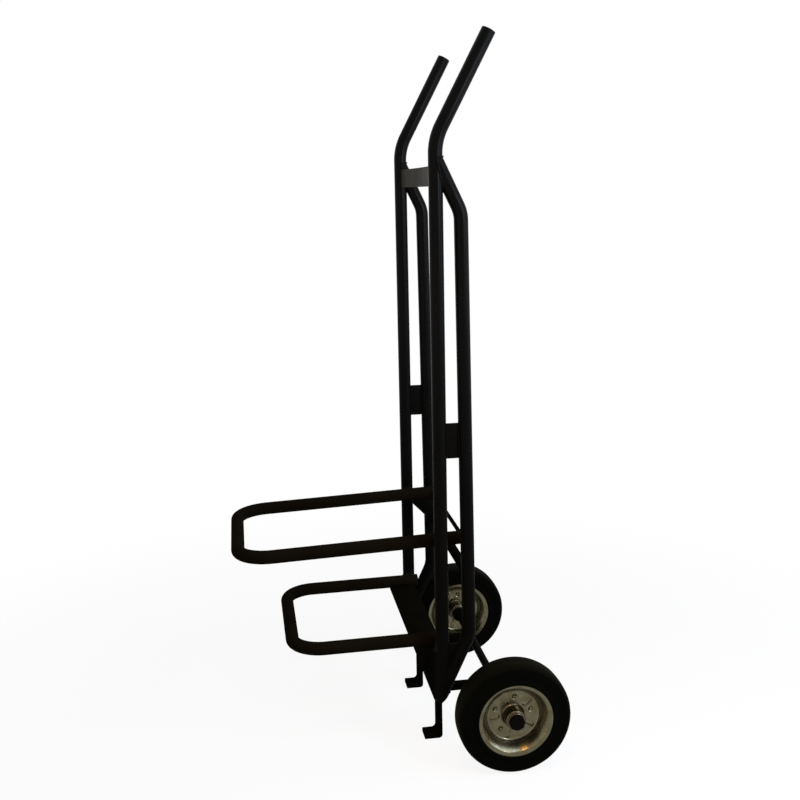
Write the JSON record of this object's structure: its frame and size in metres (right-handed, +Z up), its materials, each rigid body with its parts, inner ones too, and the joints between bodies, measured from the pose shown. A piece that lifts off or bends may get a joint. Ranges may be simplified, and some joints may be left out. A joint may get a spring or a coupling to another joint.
{
  "type": "chair hand truck",
  "caption": "Upright tubular steel hand truck for stacks of chairs, with short U-shaped forks low on the frame, angled bare handles, bent bar feet and rubber-tyred wheels on an axle behind.",
  "frame": {"origin": "on the floor, in the middle of the footprint of the whole truck", "axes": "+Z up, -Y towards the load on the forks, +Y towards the person who pushes, +X to that person's left"},
  "size_m": [0.596, 0.61, 1.3372],
  "materials": {
    "black_paint": "semi-gloss black paint on welded steel",
    "black_axle": "black painted round bar",
    "tyre": "matt black moulded rubber",
    "zinc_rim": "yellowish zinc plating on pressed steel",
    "zinc_fixing": "zinc plating",
    "nylon_bush": "moulded nylon, dark with grease"
  },
  "bodies": {
    "frame": {"main_tube_left": "black_paint", "rear_tube_left": "black_paint", "web_plate_left": "black_paint", "main_tube_right": "black_paint", "rear_tube_right": "black_paint", "web_plate_right": "black_paint", "foot_gusset": "black_paint", "handle_strap": "black_paint", "upper_fork": "black_paint", "fork_tie_rod": "black_paint", "fork_spacers": "black_paint", "fork_gusset": "black_paint", "rear_cross_tube": "black_paint", "lower_fork": "black_paint", "lower_shelf": "black_paint", "foot_cross_bar": "black_paint", "front_plate": "black_paint", "axle_arm_left": "black_paint", "axle_sleeve_left": "black_paint", "foot_left": "black_paint", "axle_arm_right": "black_paint", "axle_sleeve_right": "black_paint", "foot_right": "black_paint", "axle": "black_axle", "axle_collar_left": "black_axle", "axle_washer_left": "zinc_fixing", "axle_cap_left": "black_axle", "axle_collar_right": "black_axle", "axle_washer_right": "zinc_fixing", "axle_cap_right": "black_axle"},
    "wheel_left": {"tyre_left": "tyre", "rim_outer_left": "zinc_rim", "rim_inner_left": "zinc_rim", "rim_rivets_left": "zinc_rim", "hub_left": "zinc_rim", "bush_outer_left": "nylon_bush", "bush_inner_left": "nylon_bush"},
    "wheel_right": {"tyre_right": "tyre", "rim_outer_right": "zinc_rim", "rim_inner_right": "zinc_rim", "rim_rivets_right": "zinc_rim", "hub_right": "zinc_rim", "bush_outer_right": "nylon_bush", "bush_inner_right": "nylon_bush"}
  },
  "joints": [
    {"name": "wheel_left_spin", "type": "hinge", "parent": "frame", "child": "wheel_left", "pos_m": [0.26, 0.19798, 0.107], "axis": [1, 0, 0], "continuous": true},
    {"name": "wheel_right_spin", "type": "hinge", "parent": "frame", "child": "wheel_right", "pos_m": [-0.26, 0.19798, 0.107], "axis": [1, 0, 0], "continuous": true}
  ]
}
